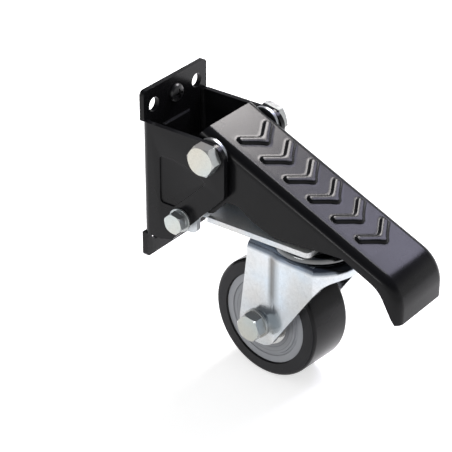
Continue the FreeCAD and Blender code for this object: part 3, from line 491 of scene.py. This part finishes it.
def edges_between(work, turn, low, high):
    """edges that turn more than an angle, with both ends in a box of millimetres over |y|"""
    def inside(spot):
        place = (spot.co.x, abs(spot.co.y), spot.co.z)
        return all(first * MM < value < last * MM
                   for first, value, last in zip(low, place, high))
    return [edge for edge in work.edges
            if edge.calc_face_angle(0.0) > turn and all(inside(spot) for spot in edge.verts)]


def lies_flat(edge, axis):
    """whether both ends of an edge stand at one place along X (0), Y (1) or Z (2)"""
    return abs(edge.verts[0].co[axis] - edge.verts[1].co[axis]) < 0.01 * MM


def round_edges(work, chosen, radius, segments):
    """rounds the chosen edges by a radius in millimetres"""
    bmesh.ops.bevel(work, geom=chosen, offset=radius * MM, offset_type="OFFSET",
                    segments=segments, profile=0.5, affect="EDGES", clamp_overlap=True,
                    material=-1)


def refined_copy(node, slot, bevel=0.0, finish=None):
    """copy of a CAD node with its flats cleaned and its edges broken"""
    work = joined_copy(node)
    clean_flats(work)
    smooth_by_angle(work)
    return settle_piece(work, node, slot, bevel, finish)


def turned_bolt(node, turn, share, axis, bevel):
    """copy of a bolt turned about its own axis, with its head drawn at a share of its width"""
    work = joined_copy(node)
    low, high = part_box(node)
    middle = (low + high) / 2
    for spot in work.verts:
        along = axis * (spot.co - middle).dot(axis)
        out = spot.co - middle - along
        if out.length > SHANK_RADIUS:
            spot.co = middle + along + out * share
    bmesh.ops.rotate(work, verts=work.verts, cent=middle, matrix=Matrix.Rotation(turn, 3, axis))
    clean_flats(work)
    smooth_by_angle(work)
    bolt = settle_piece(work, node, "zinc_bolt", bevel)
    add_face_finish(bolt, "bolt_face", axis, closeness=0.95)


# ---------------------------------------------------------------- operators

# Lamps: place, spot that they look at, width and height, the setting with the power, and tint.
LAMPS = {
    "back_softbox": ((-0.09, 0.70, 0.76), (0.06, 0.0, 0.0), (0.27, 0.3), "back_light",
                     (1.0, 0.96, 0.95)),
    "side_softbox": ((0.27, 0.78, 0.70), (0.06, 0.0, 0.0), (0.3, 0.3), "side_light",
                     (0.79, 0.77, 1.0)),
    "top_strip": ((0.11, 0.54, 0.86), (0.08, 0.0, 0.0), (0.5, 0.09), "top_light",
                  (0.96, 0.96, 1.0)),
    "key_softbox": ((-0.18, -1.16, 0.24), (0.08, 0.0, 0.0), (0.5, 0.1), "key_light",
                    (1.0, 1.0, 1.0)),
}
FLOOR_REACH = 6.0
FLOOR_GREY = 0.86
# Heights (sine of the angle) where the mirrored white walls end and the dim ceiling is reached.
WALL_TOP, CEILING_START = 0.24, 0.52


class OBJECT_OT_caster_stage(Operator):
    """Sets the floor, the lights and the camera"""
    bl_idname = "object.caster_stage"
    bl_label = "Stage"

    def execute(self, context):
        look = context.scene.caster_stage
        self.lay_floor(context, look)
        self.fill_world(context, look)
        for label, (place, aim, size, setting, tint) in LAMPS.items():
            data = bpy.data.lights.new(label, "AREA")
            data.shape = "RECTANGLE"
            data.size, data.size_y = size
            data.energy = getattr(look, setting)
            data.color = tint
            lamp = bpy.data.objects.new(label, data)
            context.scene.collection.objects.link(lamp)
            lamp.location = place
            lamp.rotation_euler = (Vector(aim) - Vector(place)).to_track_quat("-Z", "Y").to_euler()
        self.set_camera(context, look)
        context.scene.view_settings.view_transform = "Standard"
        return {"FINISHED"}

    def lay_floor(self, context, look):
        """pale floor under the tyre, white where the eye sees it"""
        work = bmesh.new()
        bmesh.ops.create_grid(work, x_segments=1, y_segments=1, size=FLOOR_REACH,
                              matrix=Matrix.Translation((0, 0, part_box("tyre")[0].z)))
        mesh = bpy.data.meshes.new("floor")
        work.to_mesh(mesh)
        work.free()
        floor = bpy.data.objects.new("floor", mesh)
        context.scene.collection.objects.link(floor)
        made, tree, shader = new_material("pale_floor")
        shader.inputs["Base Color"].default_value = (FLOOR_GREY, FLOOR_GREY, FLOOR_GREY, 1)
        shader.inputs["Roughness"].default_value = 0.9
        shader.inputs["Emission Color"].default_value = (1, 1, 1, 1)
        glow = joined(tree, seen_directly(tree), look.floor_glow, "MULTIPLY")
        tree.links.new(glow, shader.inputs["Emission Strength"])
        mesh.materials.append(made)

    def fill_world(self, context, look):
        """even light on every surface, and white walls under a dim ceiling in its mirrors"""
        world = bpy.data.worlds.new("studio")
        world.use_nodes = True
        context.scene.world = world
        tree = world.node_tree
        tree.nodes.clear()
        light = add(tree, "ShaderNodeBackground", {"Color": (1, 1, 1, 1), "Strength": look.sky})
        way = add(tree, "ShaderNodeTexCoord").outputs["Generated"]
        height = add(tree, "ShaderNodeSeparateXYZ", {0: way}).outputs["Z"]
        room = ramp(tree, height, [
            (0.0, 1.0), (WALL_TOP, 1.0), (CEILING_START, tuple(look.ceiling))])
        white = add(tree, "ShaderNodeBackground", {"Color": room, "Strength": 1.0})
        both = add(tree, "ShaderNodeMixShader", {
            0: seen_directly(tree), 1: light.outputs[0], 2: white.outputs[0]})
        add(tree, "ShaderNodeOutputWorld", {"Surface": both.outputs[0]})

    def set_camera(self, context, look):
        """camera at the photograph's viewing angle"""
        data = bpy.data.cameras.new("camera")
        data.lens = look.lens
        data.sensor_width = 36.0
        data.clip_start = 0.05
        data.clip_end = 30.0
        camera = bpy.data.objects.new("camera", data)
        context.scene.collection.objects.link(camera)
        camera.location = look.camera_place
        camera.rotation_euler = (math.pi / 2 - look.camera_elevation, 0.0, look.camera_azimuth)
        context.scene.camera = camera


# Boxes in millimetres (x, |y|, z) round the edges of the flange dents and of the plate's panel.
DENT_BOX = ((10.0, 21.0, -13.2), (50.0, 25.1, 17.0))
PANEL_BOX = ((2.6, -1.0, -29.5), (4.2, 17.5, 29.5))
PANEL_TURN = 0.5
# Heights of the relief slots' free walls, and the way that each moves to draw its slot shut.
SLOT_WALLS = ((30.7, -1), (-32.4, 1))
SLOT_CLOSING = 0.385


class OBJECT_OT_caster_bracket(Operator):
    """Builds the folded mounting bracket and its screw"""
    bl_idname = "object.caster_bracket"
    bl_label = "Bracket"

    def execute(self, context):
        work = joined_copy("mount_bracket")
        clean_flats(work)
        rim = [edge for edge in edges_between(work, RIM_TURN, *DENT_BOX) if lies_flat(edge, 1)]
        round_edges(work, rim, radius=0.8, segments=5)
        step = [edge for edge in edges_between(work, PANEL_TURN, *PANEL_BOX) if lies_flat(edge, 0)]
        round_edges(work, step, radius=0.55, segments=3)
        for spot in work.verts:
            for height, way in SLOT_WALLS:
                if abs(spot.co.z - height * MM) < 0.03 * MM:
                    spot.co.z += way * SLOT_CLOSING * MM
        smooth_by_angle(work)
        settle_piece(work, "mount_bracket", "black_coat", context.scene.caster_finish.edge)
        refined_copy("mounting_screw", "black_screw")
        return {"FINISHED"}


# The pedal's top: its rear edge and its fall to the tip.
TOP_REAR = Vector((36.0, 0.0, 34.6)) * MM
TOP_FALL = math.atan(0.4475)
# The chevrons in millimetres along the slope and across it: the first apex, their distance, the
# line of their apexes, how far an arm reaches across and falls back, and from an apex back to
# the middle of its chevron.
CHEVRON = {"apex": 22.1, "pitch": 15.1, "middle": 1.2, "reach": 10.7, "fall": 6.42,
           "half": 3.0, "count": 6}
# A ridge's section: half its crown and foot, height, dome over the crown and the soft inner
# corner between its arms, and the faint lip pressed up round it.
RIDGE = {"crown": 1.45, "foot": 2.95, "height": 1.35, "dome": 0.07, "corner": 0.7,
         "lip": 0.07, "lip_width": 0.42, "lip_inset": 0.3}
# The sheet that carries them, and the size of its cells.
PATCH = {"start": 10.4, "end": 102.0, "near": -13.2, "far": 14.95, "cell": 0.36, "lift": 0.01}


def share_of(value, start=0.0, end=1.0):
    """how far a value has come from start to end, kept between 0 and 1"""
    return min(max((value - start) / (end - start), 0.0), 1.0)


def height_over_top(spot):
    """distance of a point above the plane of the pedal's top"""
    return (spot - TOP_REAR).dot(Vector((math.sin(TOP_FALL), 0.0, math.cos(TOP_FALL))))


def distance_to_chevron(spot, index):
    """distance from the middle line of one chevron, its two arms softly joined"""
    apex = Vector((CHEVRON["apex"] + CHEVRON["pitch"] * index, CHEVRON["middle"]))
    closeness = 0.0
    for side in (-1, 1):
        arm = Vector((-CHEVRON["fall"], side * CHEVRON["reach"]))
        nearest = arm * share_of((spot - apex).dot(arm) / arm.length_squared)
        closeness += math.exp(-(spot - apex - nearest).length / RIDGE["corner"])
    return max(-RIDGE["corner"] * math.log(closeness), 0.0)


def ridge_height(along, across):
    """height of the nearest pressed chevron over the top at a spot given in millimetres"""
    last = CHEVRON["count"] - 1
    number = round((along - CHEVRON["apex"] + CHEVRON["half"]) / CHEVRON["pitch"])
    number = min(max(number, 0), last)
    inside = share_of(min(across - PATCH["near"], PATCH["far"] - across) - RIDGE["lip_inset"])
    best = 0.0
    for index in range(max(number - 1, 0), min(number + 1, last) + 1):
        distance = distance_to_chevron(Vector((along, across)), index)
        share = share_of(distance, RIDGE["crown"], RIDGE["foot"])
        off_foot = (distance - RIDGE["foot"]) / RIDGE["lip_width"]
        wall = RIDGE["height"] * 0.5 * (1 + math.cos(math.pi * share))
        dome = RIDGE["dome"] * distance ** 2 * (1 - share)
        best = max(best, wall - dome + RIDGE["lip"] * inside * math.exp(-off_foot ** 2))
    return best


def add_chevrons(work):
    """soft pressed chevrons: a fine sheet on the pedal's top, raised where the ridges are"""
    sheet = bmesh.new()
    length, width = PATCH["end"] - PATCH["start"], PATCH["far"] - PATCH["near"]
    middle = ((PATCH["start"] + PATCH["end"]) / 2, (PATCH["near"] + PATCH["far"]) / 2)
    bmesh.ops.create_grid(sheet, x_segments=int(length / PATCH["cell"]),
                          y_segments=int(width / PATCH["cell"]), size=0.5)
    bmesh.ops.scale(sheet, vec=(length, width, 1.0), verts=sheet.verts)
    bmesh.ops.translate(sheet, vec=(*middle, PATCH["lift"]), verts=sheet.verts)
    for spot in sheet.verts:
        spot.co.z += ridge_height(spot.co.x, spot.co.y)
    bmesh.ops.scale(sheet, vec=(MM, MM, MM), verts=sheet.verts)
    bmesh.ops.transform(sheet, verts=sheet.verts, matrix=Matrix.Translation(TOP_REAR)
                        @ Matrix.Rotation(TOP_FALL, 4, "Y"))
    mesh = bpy.data.meshes.new("chevrons")
    sheet.to_mesh(mesh)
    sheet.free()
    work.from_mesh(mesh)
    bpy.data.meshes.remove(mesh)


class OBJECT_OT_caster_pedal(Operator):
    """Builds the pressed pedal lever with its soft chevrons"""
    bl_idname = "object.caster_pedal"
    bl_label = "Pedal"

    def execute(self, context):
        work = joined_copy("pedal_lever")
        ridges = [spot for spot in work.verts if height_over_top(spot.co) > 0.03 * MM]
        bmesh.ops.delete(work, geom=ridges, context="VERTS")
        rims = [edge for edge in work.edges if edge.is_boundary]
        bmesh.ops.holes_fill(work, edges=rims, sides=0)
        clean_flats(work)
        add_chevrons(work)
        smooth_by_angle(work)
        settle_piece(work, "pedal_lever", "black_coat", context.scene.caster_finish.edge)
        return {"FINISHED"}


class OBJECT_OT_caster_carrier(Operator):
    """Builds the carrier plate and the pieces of the swivel"""
    bl_idname = "object.caster_carrier"
    bl_label = "Carrier and swivel"

    def execute(self, context):
        work = joined_copy("carrier_plate")
        clean_flats(work)
        top = max(spot.co.z for spot in work.verts) / MM
        long_edges = edges_between(work, RIM_TURN, (-FAR, 15.0, top - 0.05), (FAR, FAR, top + 1.0))
        round_edges(work, long_edges, radius=1.5, segments=5)
        smooth_by_angle(work)
        settle_piece(work, "carrier_plate", "zinc_sheet", context.scene.caster_finish.edge,
                     "zinc_plate")
        for node in ("kingpin", "lower_race"):
            refined_copy(node, "zinc_sheet")
        # the upper race gets the zinc painted dark, a painted reflection of the pedal's underside
        refined_copy("upper_race", "zinc_sheet", 0.2 * MM, "race_steel")
        for node in ("upper_race_balls", "lower_race_balls"):
            refined_copy(node, "bearing_steel")
        return {"FINISHED"}


class OBJECT_OT_caster_fork(Operator):
    """Builds the drawn fork"""
    bl_idname = "object.caster_fork"
    bl_label = "Fork"

    def execute(self, context):
        refined_copy("fork", "zinc_sheet", context.scene.caster_finish.edge, "zinc_fork")
        return {"FINISHED"}


class OBJECT_OT_caster_wheel(Operator):
    """Builds the tyre, the core and the bearings"""
    bl_idname = "object.caster_wheel"
    bl_label = "Wheel"

    def execute(self, context):
        # the tread's darker colour is painted shade; the side faces keep the tyre's own colour
        tyre = refined_copy("tyre", "black_tread")
        add_face_finish(tyre, "tyre_side", PIVOT_AXIS, closeness=0.9)
        refined_copy("wheel_core", "grey_core")
        for node in ("bearing_outer_rings", "bearing_inner_rings", "bearing_balls", "hub_spacers",
                     "axle_sleeve"):
            refined_copy(node, "bearing_steel")
        refined_copy("bearing_seals", "seal_brown")
        return {"FINISHED"}


# What stands further from a bolt's axis than this belongs to its head.
SHANK_RADIUS = 5.3 * MM
# The bolts: turn of the head in degrees, share of its width, and axis.
BOLTS = {
    "upper_pivot_bolt": (23.0, 0.9, PIVOT_AXIS),
    "lower_pivot_bolt": (-30.0, 1.0, PIVOT_AXIS),
    "axle_bolt": (8.0, 1.0, AXLE_AXIS),
}


class OBJECT_OT_caster_fasteners(Operator):
    """Builds the bolts, nuts, washers and spacers"""
    bl_idname = "object.caster_fasteners"
    bl_label = "Fasteners"

    def execute(self, context):
        edge = context.scene.caster_finish.edge
        for node in ("upper_pivot_nut", "lower_pivot_nut", "axle_nut", "lower_pivot_washers",
                     "axle_washers"):
            refined_copy(node, "zinc_bolt", edge)
        for node, (turn, share, axis) in BOLTS.items():
            turned_bolt(node, math.radians(turn), share, axis, edge)
        for node in ("pivot_spacer_left", "pivot_spacer_right"):
            refined_copy(node, "zinc_bolt", edge, "spacer_zinc")
        return {"FINISHED"}


STEPS = (OBJECT_OT_caster_stage, OBJECT_OT_caster_bracket, OBJECT_OT_caster_pedal,
         OBJECT_OT_caster_carrier, OBJECT_OT_caster_fork, OBJECT_OT_caster_wheel,
         OBJECT_OT_caster_fasteners)


class VIEW3D_PT_caster(Panel):
    """Sizes, colours and steps of the caster"""
    bl_idname = "VIEW3D_PT_caster"
    bl_label = "Caster"
    bl_space_type = "VIEW_3D"
    bl_region_type = "UI"
    bl_category = "Caster"

    def draw(self, context):
        for settings in (context.scene.caster_stage, context.scene.caster_finish):
            for name in settings.__annotations__:
                self.layout.prop(settings, name)
        for step in STEPS:
            self.layout.operator(step.bl_idname)


CLASSES = (CasterStageSettings, CasterFinishSettings) + STEPS + (VIEW3D_PT_caster,)


def register():
    for item in CLASSES:
        bpy.utils.register_class(item)
    bpy.types.Scene.caster_stage = PointerProperty(type=CasterStageSettings)
    bpy.types.Scene.caster_finish = PointerProperty(type=CasterFinishSettings)


def unregister():
    del bpy.types.Scene.caster_finish
    del bpy.types.Scene.caster_stage
    for item in reversed(CLASSES):
        bpy.utils.unregister_class(item)


def main():
    register()
    for step in ("stage", "bracket", "pedal", "carrier", "fork", "wheel", "fasteners"):
        getattr(bpy.ops.object, "caster_" + step)()


if __name__ == "__main__":
    main()
